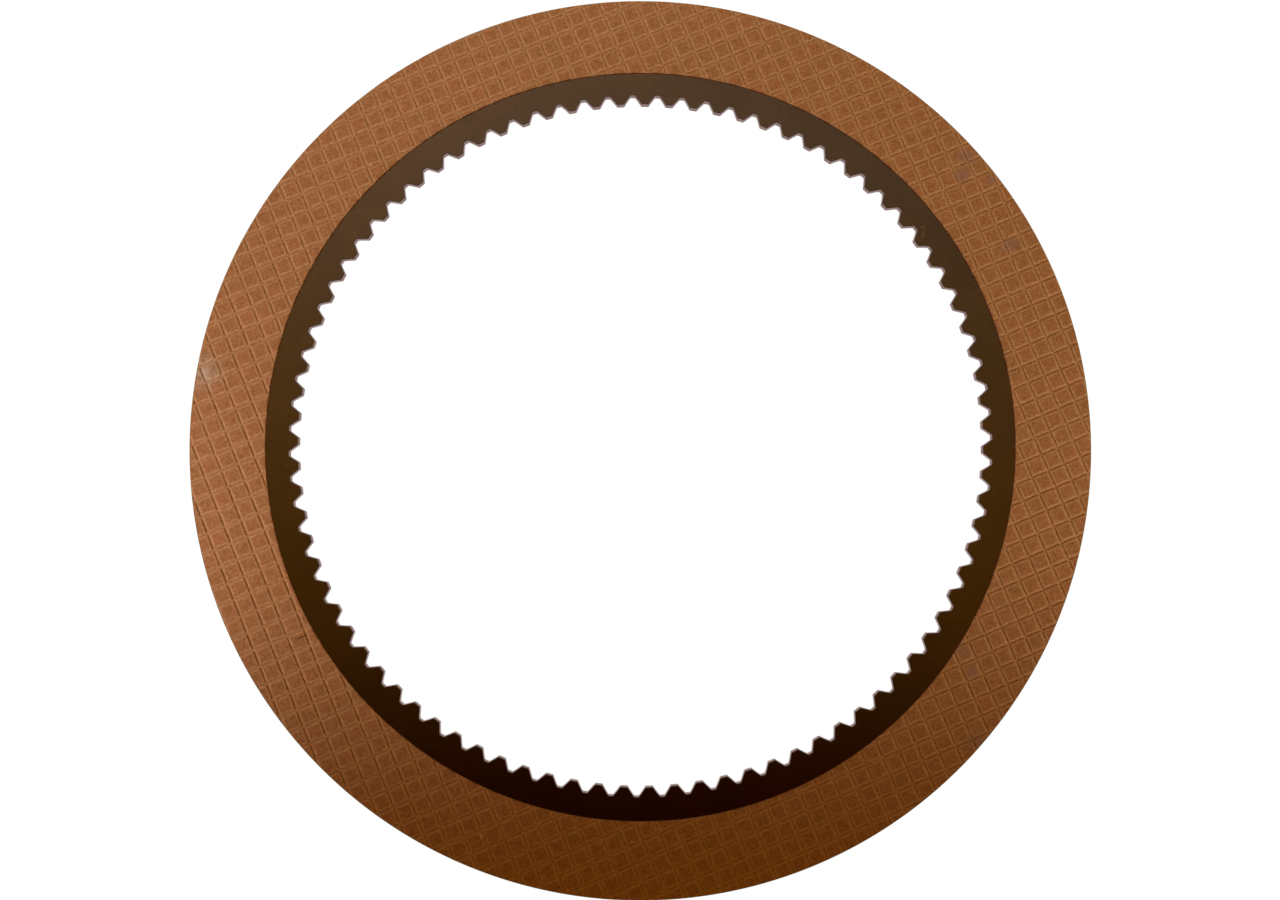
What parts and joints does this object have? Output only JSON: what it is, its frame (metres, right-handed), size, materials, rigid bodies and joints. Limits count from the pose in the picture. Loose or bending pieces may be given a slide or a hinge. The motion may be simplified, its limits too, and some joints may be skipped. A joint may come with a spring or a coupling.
{
  "type": "brake disc",
  "caption": "Flat wet brake friction disc: a steel core ring with internal spline teeth and a waffle-grooved paper friction facing bonded to each face.",
  "frame": {"origin": "centre of the disc on its axis, at half its thickness", "axes": "+Z along the disc axis, out of the front face; +X through the middle of a gap between two spline teeth"},
  "size_m": [0.34, 0.34, 0.005],
  "materials": {
    "steel_core": "oil-browned stamped steel, satin",
    "friction_lining": "matt resin-bonded friction paper, pressed with square lands"
  },
  "bodies": {
    "root": {"core_plate": "steel_core", "front_facing": "friction_lining", "rear_facing": "friction_lining"}
  },
  "joints": []
}
